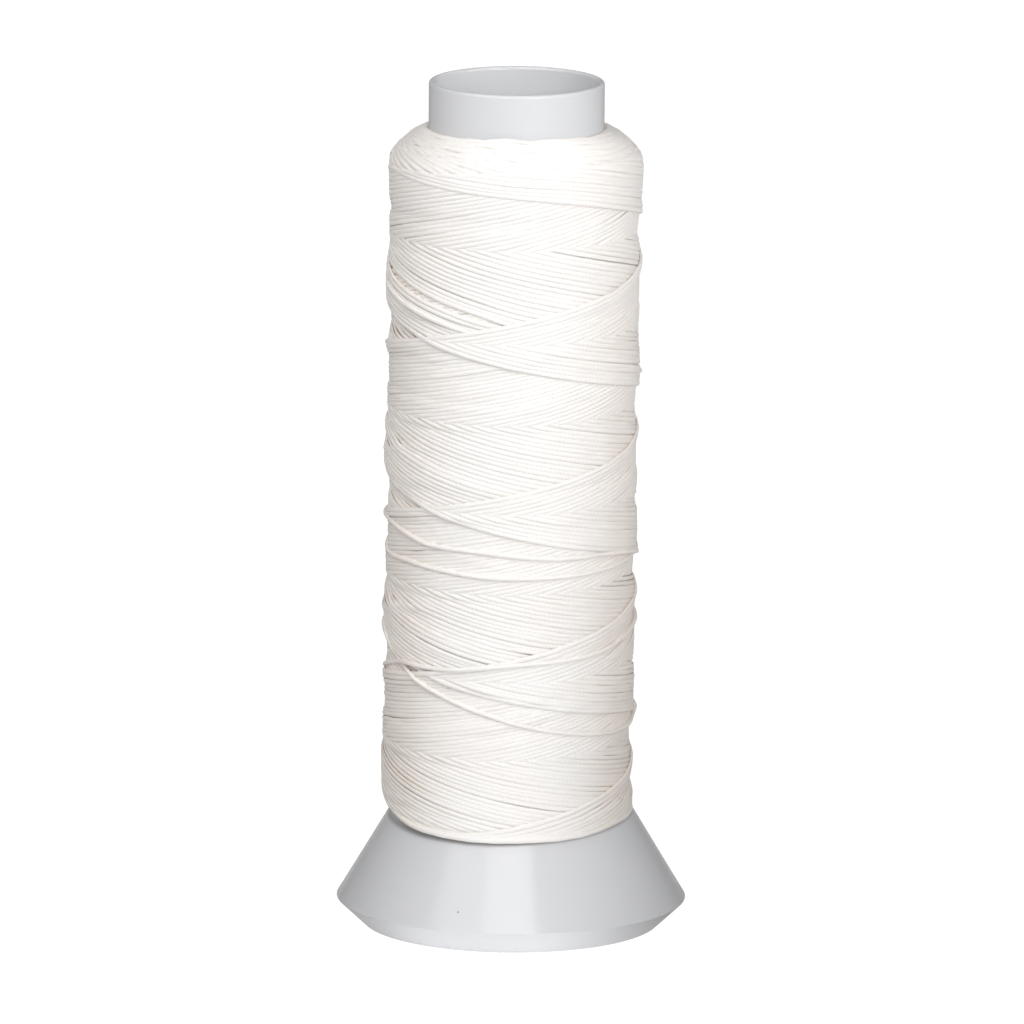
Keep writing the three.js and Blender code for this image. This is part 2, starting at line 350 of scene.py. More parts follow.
class Winding:
    """Height of the wound thread over its mean surface, in cells round and along the reel."""

    def __init__(self):
        self.rows = int((WAY_END - WAY_START) / ROW) + SPARE_ROWS
        self.ways = WAY_START + np.arange(self.rows) * ROW
        cone = (RIM_RADIUS - CONE_SLOPE * (self.ways - RIM_HEIGHT)) - WINDING_RADIUS
        body = np.maximum(-GROWTH * STROKES - BASE_DEPTH, cone)
        shoulder = -GROWTH * SHOULDER_STROKES - BASE_DEPTH
        self.field = np.tile(np.where(self.ways > HEAD_REVERSAL, shoulder, body), (CELLS, 1))
        self.reach = int(HALF / ROW)

    def cells(self, columns, way):
        """The cells that a strand covers, and how far each lies aside of its middle."""
        rows = row_at(way)[:, None] + np.arange(-self.reach, self.reach + 1)
        aside = WAY_START + rows * ROW - way[:, None]
        return columns[:, None], rows, aside

    def contact(self, columns, way):
        """Height of a strand's middle where it would just rest on what is there."""
        column, rows, aside = self.cells(columns, way)
        resting = self.field[column, rows] + PRESSED * strand_top(aside)
        return np.where(np.abs(aside) < CONTACT * HALF, resting, NOTHING).max(axis=1)

    def add(self, columns, way, lift):
        """Lays a strand on the field."""
        column, rows, aside = self.cells(columns, way)
        top = np.where(np.abs(aside) < HALF, lift[:, None] + strand_top(aside), NOTHING)
        self.field[column, rows] = np.maximum(self.field[column, rows], top)

    def finish(self, share=70, reach=16, local_reach=9):
        """Finds how high the finished surface lies over the mean one, height by height, and on
        the shoulder also sector by sector. This percentage of the cells keeps under it, and it is
        evened out over so many rows on each side."""
        sectors = self.field.reshape(SECTORS, CELLS // SECTORS, self.rows)
        first = int((FOOT_REVERSAL - WAY_START) / ROW)
        last = int((WAY_END - CREST_END - WAY_START) / ROW)

        def smooth(crest, rows):
            below = np.full(first, crest[first])
            above = np.full(self.rows - last, crest[last])
            return blur(np.concatenate([below, crest[first:last], above]), rows)

        whole = smooth(np.percentile(self.field, share, axis=0), reach)
        local = np.percentile(sectors, share, axis=1)
        local = np.stack([smooth(crest, local_reach) for crest in local])
        local = (np.roll(local, 1, axis=0) + 2 * local + np.roll(local, -1, axis=0)) / 4
        self.crest = whole + (local - whole) * smoothstep(self.ways, *SHOULDER_BLEND) + CREST

    def level(self, columns, way):
        """Height of the finished surface over the mean one, near a place."""
        sector = columns / (CELLS // SECTORS) - 0.5
        row = (way - WAY_START) / ROW
        left, below = np.floor(sector).astype(int), row.astype(int)
        aside, above = sector - left, row - below

        def between_rows(sector):
            low, high = (self.crest[sector % SECTORS, row] for row in (below, below + 1))
            return low * (1 - above) + above * high

        return between_rows(left) * (1 - aside) + between_rows(left + 1) * aside

    def pressed(self, columns, way, lift, rest):
        """The lift over the finished surface, with the relief of the pile pressed together. rest
        is how far the strand's middle lies over the surface it belongs to."""
        on_shoulder = smoothstep(way, *SHOULDER_BLEND)
        relief = RELIEF_BODY + (RELIEF_SHOULDER - RELIEF_BODY) * on_shoulder
        return (lift - self.level(columns, way) - rest) * relief + rest

    def top_at(self, columns, way):
        """Height of the field at a place."""
        return self.field[columns, row_at(way)]

    def clearance(self, columns, way, lift):
        """How far the best part of a strand stands over the field; 0 where it shows."""
        column, rows, aside = self.cells(columns, way)
        over = lift[:, None] + strand_top(aside) - self.field[column, rows]
        return np.where(np.abs(aside) < HALF, over, NOTHING).max(axis=1)


def lay_stroke(winding, stroke, first_turn, last_turn, waver, lift_before=None):
    """Lays a stroke of the machine, or part of one, pass by pass, and returns its strand."""
    start = LAST_FOOT_TURN - stroke * TURNS_PER_STROKE
    first = int(math.ceil((start + first_turn) * CELLS))
    last = int(math.ceil((start + last_turn) * CELLS))
    index = np.arange(first, last + 1)
    turn = index / CELLS
    way = stroke_heights(stroke, turn - start, waver)
    columns = index % CELLS
    level = -GROWTH * stroke - HALF
    lift = np.zeros(len(index))
    head = np.searchsorted(turn, start + TURNS_UP)
    for one_pass in (slice(0, head + 1), slice(head, len(index))):
        if one_pass.start >= len(index):
            continue
        resting = winding.contact(columns[one_pass], way[one_pass])
        resting = np.clip(resting, level - HOLLOW, level + PILE)
        if lift_before is not None:
            resting[0] = lift_before
        lift[one_pass] = taut(resting)
        winding.add(columns[one_pass], way[one_pass], lift[one_pass])
        lift_before = lift[one_pass][-1]
    return {"turn": turn, "columns": columns, "way": way, "lift": lift}


def blur(values, reach):
    """A soft running mean over reach samples on each side."""
    window = np.hanning(2 * reach + 3)[1:-1]
    padded = np.pad(values, reach, mode="edge")
    return np.convolve(padded, window / window.sum(), mode="valid")


def wind():
    """Lays the whole winding, oldest strands first."""
    rng = np.random.default_rng(SEED)
    winding = Winding()
    strands = []
    for stroke in range(SHOULDER_STROKES, STROKES, -1):
        low, high = TURNS_UP - HEAD_ARC, TURNS_UP + HEAD_ARC
        strands.append(lay_stroke(winding, stroke, low, high, Waver(rng)))
    for stroke in range(STROKES, -1, -1):
        turns = TURNS_PER_STROKE if stroke else LAST_PASS_TURNS
        before = strands[-1]["lift"][-1] if stroke < STROKES else None
        strands.append(lay_stroke(winding, stroke, 0, turns, Waver(rng), before))
    winding.finish()
    full = strands[-STROKES - 1:]
    joined = {key: np.concatenate([one[key][1:] for one in full]) for key in full[0]}
    return winding, strands[:-STROKES - 1] + [joined]


# ---- The loose end ----

# (degrees round the reel, height), from where it leaves the winding
LOOSE_ROUTE = (
    (-150, 53.7), (-128, 54.3), (-104, 53.3), (-78, 52.3), (-59, 52.4), (-34, 52.0), (-9, 51.5),
    (28, 51.5), (60, 51.9), (84, 52.3), (120, 53.4), (180, 55.3), (240, 56.8), (276, 57.0),
    (301, 56.2), (320, 55.3), (344, 55.0), (380, 54.0), (407, 53.8), (441, 52.5), (480, 49.5),
    (540, 45.0), (600, 42.4), (640, 41.0), (654, 38.6), (676, 35.8), (705, 32.9), (738, 30.2),
    (768, 28.8), (798, 28.6), (822, 30.0), (860, 31.6), (920, 33.6), (975, 34.8), (1005, 37.0),
    (1022, 38.1), (1050, 38.3), (1080, 39.4), (1127, 40.3), (1164, 42.5), (1205, 44.4),
    (1262, 46.6),
)
LOOSE_STEP = 1.5  # degrees from point to point of the course
LOOSE_JOIN = 40  # degrees over which it leaves the height of the last pass,
LOOSE_LIFT_JOIN = 14  # and over which it leaves the lift
LOOSE_EVEN = 5  # points on each side over which it evens out what it rests on

# Where the loose end passes over itself: the turn on top, the turn under it, and how far the
# upper one stays up and then comes down, all in degrees.
LOOSE_HUMPS = ((447, 87, 16, 34), (526, 1246, 12, 34), (1019, 659, 14, 34))
HUMP_GAP = 0.45  # of a diameter between the two middles, as both give way
SUNK = 0.08  # the loose end beds this deep between the strands under it
# Where it stands off in a slack bulge, or below 0 is drawn in: (degrees, how far, half length).
LOOSE_BULGES = (
    (-92, -0.25, 45), (87, -0.45, 45), (276, -0.25, 45), (640, -0.35, 45), (1000, -0.25, 40),
    (1172, 0.2, 30),
)


def smooth_curve(knots, values, slopes, at):
    """Values at places along a smooth curve that has these values and slopes at its knots. Also
    gives the knot before each place, and how far on from it to the next the place is."""
    shape = (-1,) + (1,) * (values.ndim - 1)
    index = np.clip(np.searchsorted(knots, at, side="right") - 1, 0, len(knots) - 2)
    span = (knots[index + 1] - knots[index]).reshape(shape)
    part = (at - knots[index]).reshape(shape) / span
    square, cube = part ** 2, part ** 3
    curve = (
        (2 * cube - 3 * square + 1) * values[index]
        + (cube - 2 * square + part) * span * slopes[index]
        + (3 * square - 2 * cube) * values[index + 1]
        + (cube - square) * span * slopes[index + 1]
    )
    return curve, index, part


def across_neighbours(values):
    """From the value before each one to the value after it."""
    padded = np.pad(values, 1, mode="edge")
    return padded[2:] - padded[:-2]


def lay_loose_end(winding, last):
    """Centres and normals of the loose end, which starts where the last pass ends."""
    start = LOOSE_ROUTE[0][0]
    turn = np.arange(start, LOOSE_ROUTE[-1][0] + 0.01, LOOSE_STEP)
    turns, heights = np.array(LOOSE_ROUTE, dtype=float).T
    slopes = across_neighbours(heights) / across_neighbours(turns)
    height, _, _ = smooth_curve(turns, heights, slopes, turn)
    join = last["way"][-1] - pattern_drop(last["turn"][-1:], last["way"][-1:])[0]
    height = height + (join - height[0]) * (1 - smoothstep(turn, start, start + LOOSE_JOIN))
    way = height + pattern_drop(turn / 360, height)
    columns = np.round(turn / 360 * CELLS).astype(int) % CELLS
    lift = blur(winding.contact(columns, way), LOOSE_EVEN) - SUNK
    for middle, size, reach in LOOSE_BULGES:
        lift += size * (1 - smoothstep(np.abs(turn - middle), 0, reach))
    for over, under, plateau, ramp in LOOSE_HUMPS:
        rise = np.interp(under, turn, lift) + HUMP_GAP * THREAD - np.interp(over, turn, lift)
        lift += max(rise, 0) * (1 - smoothstep(np.abs(turn - over), plateau, plateau + ramp))
    first = last["lift"][-1]
    lift = first + (lift - first) * smoothstep(turn, start, start + LOOSE_LIFT_JOIN)
    return place(turn / 360, way, winding.pressed(columns, way, lift, PRESSED * HALF))


# ---- Meshes ----


def add_object(name, data):
    added = bpy.data.objects.new(name, data)
    bpy.context.collection.objects.link(added)
    return added


def build_mesh(name, points, faces, uvs=None, values=None):
    """A mesh object from arrays. faces is a list of arrays of vertex numbers, one for each face
    size, and uvs a list to match. values holds a number for each vertex, by the name that the
    material reads it under. Faces of more than four sides are shaded flat."""
    mesh = bpy.data.meshes.new(name)
    mesh.vertices.add(len(points))
    mesh.vertices.foreach_set("co", np.asarray(points, dtype=np.float32).ravel() * MM)
    sizes = np.concatenate([np.full(len(rows), rows.shape[1]) for rows in faces])
    corners = np.concatenate([rows.ravel() for rows in faces])
    mesh.loops.add(len(corners))
    mesh.loops.foreach_set("vertex_index", corners.astype(np.int32))
    mesh.polygons.add(len(sizes))
    starts = np.concatenate([[0], np.cumsum(sizes)[:-1]])
    mesh.polygons.foreach_set("loop_start", starts.astype(np.int32))
    if uvs is not None:
        layer = mesh.uv_layers.new(name="UVMap")
        corner_uvs = np.concatenate([uv.reshape(-1, 2) for uv in uvs])
        layer.data.foreach_set("uv", corner_uvs.astype(np.float32).ravel())
    for value_name, numbers in (values or {}).items():
        layer = mesh.attributes.new(value_name, "FLOAT", "POINT")
        layer.data.foreach_set("value", np.asarray(numbers, dtype=np.float32))
    mesh.update(calc_edges=True)
    mesh.validate()
    flat = mesh.attributes.new("sharp_face", "BOOLEAN", "FACE")
    flat.data.foreach_set("value", sizes > 4)
    return add_object(name, mesh)


def distances(points):
    """From each point of a line to the next."""
    return np.linalg.norm(np.diff(points, axis=0), axis=1)


def lengths(points):
    """Length along a line, up to each of its points."""
    return np.concatenate([[0], np.cumsum(distances(points))])


PLIES = 3
PLY_PITCH = 2.0  # length of one full twist
PLY_DEPTH = 0.22  # part of the radius that the grooves between the plies take
PLY_MEAN = 0.7  # where between groove and ridge the thread's own radius is


def tube(centres, normals, radius, sides, squash=1.0, ply=0.0):
    """Arrays of a closed tube: points, side faces and their UVs, and the two end faces. U runs
    along the thread in millimetres and V once round it."""
    along = np.gradient(centres, axis=0)
    along /= np.linalg.norm(along, axis=1, keepdims=True)
    across = np.cross(along, normals)
    across /= np.linalg.norm(across, axis=1, keepdims=True)
    out = np.cross(across, along)
    length = lengths(centres)
    angle = 2 * math.pi * np.arange(sides) / sides
    twist = PLIES / 2 * (angle[None, :] - 2 * math.pi * length[:, None] / PLY_PITCH)
    size = radius * (1 + ply * (np.abs(np.cos(twist)) - PLY_MEAN))
    points = (
        centres[:, None, :]
        + (size * np.cos(angle) * squash)[:, :, None] * out[:, None, :]
        + (size * np.sin(angle) / squash)[:, :, None] * across[:, None, :]
    )
    ring = np.arange(len(centres) - 1)[:, None] * sides
    side = np.arange(sides)[None, :]
    after = (side + 1) % sides
    quads = np.stack([ring + side, ring + sides + side, ring + sides + after, ring + after], axis=-1)
    u0, v0 = np.broadcast_arrays(length[:-1, None], side / sides)
    u1, v1 = np.broadcast_arrays(length[1:, None], (side + 1) / sides)
    uv = np.stack([u0, v0, u1, v0, u1, v1, u0, v1], axis=-1)
    ends = np.stack([np.arange(sides), (len(centres) - 1) * sides + np.arange(sides)[::-1]])
    return points.reshape(-1, 3), quads.reshape(-1, 4), uv.reshape(-1, 4, 2), ends


def finer(centres, normals, step):
    """The same line with its rings a fixed step apart, through a smooth curve."""
    length = lengths(centres)
    at = np.linspace(0, length[-1], int(length[-1] / step))
    slopes = np.gradient(centres, length, axis=0)
    line, index, part = smooth_curve(length, centres, slopes, at)
    return line, normals[index] * (1 - part) + normals[index + 1] * part


def shown_runs(winding, strand, least=-0.02, spare=14):
    """Where a strand shows: the first and last cell of each stretch, with spare ones at its ends."""
    shows = winding.clearance(strand["columns"], strand["way"], strand["lift"]) > least
    near = np.convolve(shows, np.ones(2 * spare + 1), mode="same") > 0
    edges = np.flatnonzero(np.diff(np.concatenate([[0], near, [0]])))
    return zip(edges[::2], edges[1::2] - 1)


STRAND_SIDES = 8
STRAND_STEP = 5  # cells from ring to ring
STRAND_FULLNESS = 1.05  # packed strands swell a little,
STRAND_SQUASH = 0.79  # and press each other flat
WOUND_PIECES = 5  # that the winding is split into, one above the other, of like size
UV_SHIFT = 113.7  # U at the start of a run, for each turn that the thread has made by then
# Painted shade in the grooves between strands, strand by strand:
GROOVE = (0.34, 0.45)  # how dark the grooves between strands are, on average and its spread,
GROOVE_LIMITS = (0.04, 1.2)  # within these limits
GROOVE_CHANGES = 3  # how many times a turn it changes
FLANK = 0.75  # part of the half width where the darker flank begins
PINCH = (-0.15, 0.1)  # a neighbour this far over the strand's middle makes a groove, more and more
UNDER_SHARE = 0.8  # part of the half width at which the depth under other strands is taken


def material_values(winding, columns, way, lift, darkness):
    """For each point of a strand's tube, how deep it lies under other strands, and how dark the painted
    shade of its groove is, which runs where the flank meets a neighbour of the same height."""
    angle = 2 * math.pi * np.arange(STRAND_SIDES) / STRAND_SIDES
    side, up = np.sin(angle), np.cos(angle)
    depth = winding.top_at(columns, way - HALF * side * UNDER_SHARE) - (lift + HALF * up)
    beside = winding.top_at(columns, way - np.sign(side) * THREAD)
    flank = np.clip((np.abs(side) - FLANK) / (1 - FLANK), 0, 1)
    groove = smoothstep(beside - lift, *PINCH) * flank * darkness
    return depth.ravel(), groove.ravel()


def run_tube(winding, strand, picks, darkness):
    """A shown run of a strand as a tube, with what its material needs to know at each point."""
    columns, way, lift = (strand[key][picks] for key in ("columns", "way", "lift"))
    turn = strand["turn"][picks]
    centres, normals = place(turn, way, winding.pressed(columns, way, lift, -HALF))
    radius = HALF * STRAND_FULLNESS
    points, quads, uv, ends = tube(centres, normals, radius, STRAND_SIDES, STRAND_SQUASH)
    uv[..., 0] += turn[0] * UV_SHIFT
    at_rings = (values[:, None] for values in (columns, way, lift, darkness[picks]))
    return way[len(way) // 2], points, quads, uv, ends, *material_values(winding, *at_rings)


def join_tubes(name, tubes):
    """One mesh piece of several tubes."""
    _, points, quads, uvs, ends, depth, groove = zip(*tubes)
    offsets = np.cumsum([0] + [len(one) for one in points[:-1]])
    quads = np.concatenate([rows + offset for rows, offset in zip(quads, offsets)])
    ends = np.concatenate([rows + offset for rows, offset in zip(ends, offsets)])
    uvs = [np.concatenate(uvs), np.zeros((len(ends), STRAND_SIDES, 2))]
    values = {"depth": np.concatenate(depth), "groove": np.concatenate(groove)}
    return build_mesh(name, np.concatenate(points), [quads, ends], uvs, values)


def winding_pieces(winding, strands):
    """The shown strands as a few mesh pieces, one above the other."""
    rng = np.random.default_rng(SEED + 1)
    tubes = []
    for strand in strands:
        cells = len(strand["turn"])
        knots = np.arange(0, cells + CELLS, CELLS // GROOVE_CHANGES)
        knot_darkness = np.clip(rng.normal(*GROOVE, len(knots)), *GROOVE_LIMITS)
        darkness = np.interp(np.arange(cells), knots, knot_darkness)
        for first, last in shown_runs(winding, strand):
            picks = np.append(np.arange(first, last, STRAND_STEP), last)
            tubes.append(run_tube(winding, strand, picks, darkness))
    tubes.sort(key=lambda one: one[0])
    faces = np.cumsum([len(one[2]) for one in tubes])
    cuts = np.searchsorted(faces, faces[-1] * np.arange(WOUND_PIECES + 1) / WOUND_PIECES)
    return [
        join_tubes(f"wound_thread_{number}", tubes[first:last])
        for number, (first, last) in enumerate(zip(cuts[:-1], cuts[1:]), 1)
    ]


def lathe(name, profile, around):
    """A body of revolution from (radius, height) points that run anticlockwise round its section."""
    radius, height = (np.array(column)[:, None] for column in zip(*profile))
    angle = 2 * math.pi * (np.arange(around) / around)
    points = np.stack([
        radius * np.sin(angle),
        -radius * np.cos(angle),
        np.broadcast_to(height, (len(profile), around)),
    ], axis=-1)
    row = np.arange(len(profile))[:, None] * around
    next_row = np.roll(row, -1, axis=0)
    column = np.arange(around)[None, :]
    after = (column + 1) % around
    quads = np.stack([row + column, row + after, next_row + after, next_row + column], axis=-1)
    return build_mesh(name, points.reshape(-1, 3), [quads.reshape(-1, 4)])


def unit(vector):
    return vector / np.linalg.norm(vector)


def rounded_corner(before, corner, after, radius, steps=4, beside=0.1):
    """Points that round a corner of a profile off, with one more beside it on each flat, which
    keeps the shading of the flats flat."""
    corner = np.array(corner)
    one, two = unit(before - corner), unit(after - corner)
    half = math.acos(one @ two) / 2
    reach = radius / math.tan(half)
    middle = corner + unit(one + two) * radius / math.sin(half)
    start = corner + one * reach - middle
    end = corner + two * reach - middle
    sweep = math.pi - 2 * half
    arc = []
    for part in np.linspace(0, 1, steps + 1):
        away = math.sin((1 - part) * sweep) * start + math.sin(part * sweep) * end
        arc.append(middle + away / math.sin(sweep))
    return [corner + one * (reach + beside), *arc, corner + two * (reach + beside)]


def rounded_line(line, radii):
    """The corners between the ends of a line, each rounded off with its radius."""
    corners = [rounded_corner(*one) for one in zip(line, line[1:], line[2:], radii)]
    return sum(corners, [])


def spool_profile(lip_steps=14):
    """Section of the moulding: up its outside, over the lip and down its inside."""
    bore = TUBE_RADIUS - TUBE_WALL
    wall_across = CONE_WALL * math.hypot(1, CONE_SLOPE)
    lip = TUBE_WALL / 2
    stand = (STAND_RADIUS, 0.0)
    rim = (RIM_RADIUS, RIM_HEIGHT)
    neck = (TUBE_RADIUS, cone_height(TUBE_RADIUS))
    throat = (bore, cone_height(bore + wall_across))
    mouth = (HOLLOW_RADIUS, cone_height(HOLLOW_RADIUS + wall_across))
    sole = (HOLLOW_RADIUS, 0.0)
    profile = rounded_line([mouth, sole, stand, rim, neck, (TUBE_RADIUS, SPOOL_HEIGHT)], OUTSIDE_ROUNDS)
    for angle in math.pi * np.arange(lip_steps + 1) / lip_steps:
        across, up = lip * math.cos(angle), lip * math.sin(angle)
        profile.append((TUBE_RADIUS - lip + across, SPOOL_HEIGHT - lip + up))
    return profile + rounded_line([(bore, SPOOL_HEIGHT), throat, mouth, sole], INSIDE_ROUNDS)


# The core is the body of old thread under what shows. These are its gaps to the tube, to the
# cone and to the winding's end, and how far over the cone the rest of its outline starts.
CORE_TUBE_GAP = 0.05
CORE_CONE_GAP = 0.6
CORE_END_GAP = 0.4
CORE_START = 1.5
CORE_BLEND = (SHOULDER - 2, SHOULDER + 1)  # heights over which it comes nearer the surface


def core_profile(depth=1.25, depth_over=0.5, points=40):
    """Section of the core, a closed ring round the tube. It lies at a depth under the mean
    surface, which is less on the shoulder."""
    inner = TUBE_RADIUS + CORE_TUBE_GAP
    bottom = WINDING_RADIUS - depth
    profile = [(radius, cone_height(radius) + CORE_CONE_GAP) for radius in (inner, bottom)]
    for way in np.linspace(cone_height(bottom) + CORE_START, WAY_END - CORE_END_GAP, points):
        radius, height, out, up = (float(value) for value in outline(way))
        under = depth + (depth_over - depth) * float(smoothstep(way, *CORE_BLEND))
        profile.append((max(radius - out * under, inner + CORE_TUBE_GAP), height - up * under))
    profile.append((inner, profile[-1][1]))
    return profile


# ---- Materials ----


class Nodes:
    """A node tree, with short ways to add to it. An input's value is a number, a tuple of them, or
    a (node, output) pair that it comes from."""

    def __init__(self, tree):
        self.tree = tree
        tree.nodes.clear()

    def add(self, kind, inputs=(), **settings):
        node = self.tree.nodes.new(kind)
        for key, value in settings.items():
            setattr(node, key, value)
        for key, value in dict(inputs).items():
            self.put(node.inputs[key], value)
        return node

    def put(self, socket, value):
        if isinstance(value, tuple) and isinstance(value[0], bpy.types.Node):
            self.tree.links.new(value[0].outputs[value[1]], socket)
        elif socket.type == "RGBA":
            socket.default_value = (*value, 1)
        else:
            socket.default_value = value

    def math(self, operation, *values):
        return self.add("ShaderNodeMath", enumerate(values), operation=operation), "Value"

    def between(self, value, low, high, first=0.0, second=1.0, shape="LINEAR"):
        """Goes from the first to the second number as the value goes from low to high."""
        inputs = {"Value": value, "From Min": low, "From Max": high, "To Min": first, "To Max": second}
        return self.add("ShaderNodeMapRange", inputs, interpolation_type=shape), "Result"

    def place(self):
        """The place on the object, in metres."""
        return self.add("ShaderNodeTexCoord"), "Object"

    def split(self, vector):
        """X, Y and Z of a vector."""
        parts = self.add("ShaderNodeSeparateXYZ", {"Vector": vector})
        return [(parts, axis) for axis in "XYZ"]

    def vector_math(self, operation, first, second, output="Value"):
        return self.add("ShaderNodeVectorMath", {0: first, 1: second}, operation=operation), output

    def noise(self, place, scale, detail):
        inputs = {"Vector": place, "Scale": scale, "Detail": detail}
        return self.add("ShaderNodeTexNoise", inputs), "Fac"

    def attribute(self, name):
        return self.add("ShaderNodeAttribute", attribute_name=name), "Fac"

    def bump(self, height, strength):
        inputs = {"Height": height, "Strength": strength, "Distance": BUMP_HEIGHT * MM}
        return self.add("ShaderNodeBump", inputs), "Normal"

    def ramp(self, value, *stops):
        """A colour that changes with a value; the two stops are (value, colour)."""
        node = self.add("ShaderNodeValToRGB", {"Fac": value})
        for element, (position, colour) in zip(node.color_ramp.elements, stops):
            element.position = position
            element.color = (*colour, 1)
        return node, "Color"

    def mix(self, factor, first, second):
        """A mix of two colours."""
        return self.add("ShaderNodeMix", {0: factor, 6: first, 7: second}, data_type="RGBA"), 2

    def mix_shader(self, factor, first, second):
        return self.add("ShaderNodeMixShader", {0: factor, 1: first, 2: second}), 0

    def end(self, surface, kind="ShaderNodeOutputMaterial"):
        self.add(kind, {"Surface": surface})

    def end_principled(self, inputs):
        self.end((self.add("ShaderNodeBsdfPrincipled", inputs), "BSDF"))


def new_material(name):
    """A material, and its empty node tree."""
    material = bpy.data.materials.new(name)
    material.use_nodes = True
    return material, Nodes(material.node_tree)


BUMP_HEIGHT = 0.05  # of the finest relief

IVORY = (0.925, 0.907, 0.89)
IVORY_WARM = (0.92, 0.885, 0.858)
# Painted warm shade: the thread is painted yellower at the sides and back, where less light falls,
# and more towards the foot. At the front, where the cosine of the angle round from there is over the
# first number, it isn't; under the second, fully.
SIDE_SHADE_TINT = (0.90, 0.838, 0.782)
SIDE_SHADE_FRONT = (0.95, 0.55)
SIDE_SHADE_HEIGHTS = (0.03, 0.1)  # metres,
SIDE_SHADE_SHARES = (1.0, 0.4)  # and how much of it there is at these
# Painted shade: what lies deep under other strands is painted tan, more and more between these depths.
DEEP_SHADE = (0.70, 0.50, 0.32)
DEEP_SHADE_DEPTHS = (0.22, 0.75)
DEEP_SHADE_SHARE = 0.75
# Painted shade: the grooves between strands are painted dark, more and more between these values.
# The share of the dark colour is the painted warm shade times the first share, plus the second.
GROOVE_SHADE_COLOUR = (0.30, 0.205, 0.13)
GROOVE_RANGE = (0.04, 0.75)
GROOVE_SHARES = (2.0, 0.08)
# On the shoulder, both painted shades, the tan one and the one in the grooves, are paler.
PALE_HEIGHTS = (0.1, 0.106)  # metres,
PALE_SHARES = (1.0, 0.25)  # and how much of them is left at these


def side_shading(nodes, x, y, z):
    """How much painted warm shade the thread gets, by the place on the reel."""
    square = nodes.math("ADD", nodes.math("MULTIPLY", x, x), nodes.math("MULTIPLY", y, y))
    behind = nodes.math("DIVIDE", y, nodes.math("SQRT", square))
    front, side = SIDE_SHADE_FRONT
    turned = nodes.between(behind, -front, -side, shape="SMOOTHSTEP")
    return nodes.math("MULTIPLY", turned, nodes.between(z, *SIDE_SHADE_HEIGHTS, *SIDE_SHADE_SHARES))


def ply_bump(nodes):
    """The fine relief of the plies on a wound strand."""
    along, round_it, _ = nodes.split((nodes.add("ShaderNodeUVMap"), "UV"))
    along = nodes.math("MULTIPLY", along, PLIES * math.pi / PLY_PITCH)
    round_it = nodes.math("MULTIPLY", round_it, PLIES * math.pi)
    wave = nodes.math("COSINE", nodes.math("SUBTRACT", round_it, along))
    return nodes.bump(nodes.math("ABSOLUTE", wave), strength=0.35)


def thread_material(name, with_plies=True):
    """Ivory cotton, as a glossy sewing thread is, with painted shade: warm at the sides and foot, tan
    deep under other strands, and dark in the grooves.
    """
    material, nodes = new_material(name)
    place_on = nodes.place()
    x, y, z = nodes.split(place_on)
    # painted warm shade at the sides, back and foot
    side_shaded = side_shading(nodes, x, y, z)
    shown = nodes.between(z, *PALE_HEIGHTS, *PALE_SHARES)

    blotches = nodes.noise(place_on, scale=70.0, detail=2.0)
    colour = nodes.ramp(blotches, (0.35, IVORY), (0.7, IVORY_WARM))
    colour = nodes.mix(side_shaded, colour, SIDE_SHADE_TINT)
    # painted tan shade where a strand lies deep under others, paler on the shoulder
    deep = nodes.between(nodes.attribute("depth"), *DEEP_SHADE_DEPTHS)
    deep_shade_share = nodes.math("MULTIPLY", deep, nodes.math("MULTIPLY", shown, DEEP_SHADE_SHARE))
    colour = nodes.mix(deep_shade_share, colour, DEEP_SHADE)
    # painted dark shade in the grooves, stronger where the painted warm shade is
    dark = nodes.between(nodes.attribute("groove"), *GROOVE_RANGE)
    share = nodes.math("ADD", nodes.math("MULTIPLY", side_shaded, GROOVE_SHARES[0]), GROOVE_SHARES[1])
    share = nodes.math("MULTIPLY", dark, nodes.math("MULTIPLY", share, shown))
    colour = nodes.mix(share, colour, GROOVE_SHADE_COLOUR)

    inputs = {
        "Base Color": colour, "Roughness": 0.55, "Specular IOR Level": 0.7,
        "Sheen Weight": 0.04, "Sheen Roughness": 0.5,
    }
    if with_plies:
        inputs["Normal"] = ply_bump(nodes)
    nodes.end_principled(inputs)
    return material


PLASTIC = (0.68, 0.685, 0.701)
PLASTIC_CLOUDS = (0.975, 1.02)  # of that colour, from cloud to cloud
# A grain of dirt on the front of the foot.
SPECK = (-7.2, -21.4, 5.9)
SPECK_FADE = (0.08, 0.2)  # from how far to how far from its middle it fades
SPECK_SHARE = 0.8
SPECK_COLOUR = (0.12, 0.11, 0.1)
# Painted contact shadow: the cone is painted darker in a thin ring where the thread rests on it.
SHADOW_RING_MIDDLE = (-0.22, -0.66, 0.0)
SHADOW_RING_RADIUS = 16.68
SHADOW_RING_FADE = (0.05, 0.3)  # from how far to how far aside it fades
SHADOW_RING_SHARE = 0.5
SHADOW_RING_COLOUR = (0.2, 0.2, 0.21)


